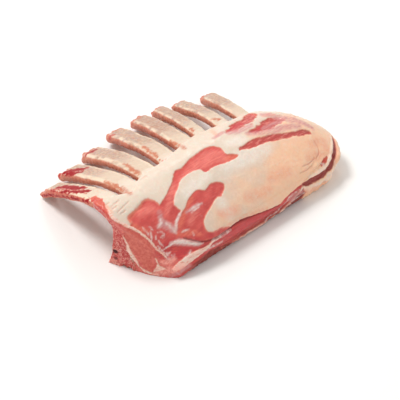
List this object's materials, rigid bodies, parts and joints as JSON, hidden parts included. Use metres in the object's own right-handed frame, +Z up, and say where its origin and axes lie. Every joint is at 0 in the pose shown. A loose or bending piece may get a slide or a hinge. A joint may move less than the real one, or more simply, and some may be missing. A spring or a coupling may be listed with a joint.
{
  "type": "raw rack of lamb",
  "caption": "Raw frenched rack of lamb lying fat side up, with cleaned rib bones that arch down to one side.",
  "frame": {"origin": "centre of the underside of the bounding box, on the surface that the rack lies on", "axes": "+X along the spine from the near cut end to the far one, +Y towards the rib tips, +Z up through the fat cap"},
  "size_m": [0.2308, 0.1682, 0.0555],
  "materials": {
    "meat": "moist raw red meat",
    "fat": "firm cream fat with a slight sheen",
    "bone": "scraped bone under a thin pink membrane"
  },
  "bodies": {
    "root": {"loin": "meat", "cap_muscle": "meat", "seam_fat": "fat", "fat_cap": "fat", "chine_bone": "bone", "rib_1": "bone", "rib_2": "bone", "rib_3": "bone", "rib_4": "bone", "rib_5": "bone", "rib_6": "bone", "rib_7": "bone", "rib_8": "bone"}
  },
  "joints": []
}
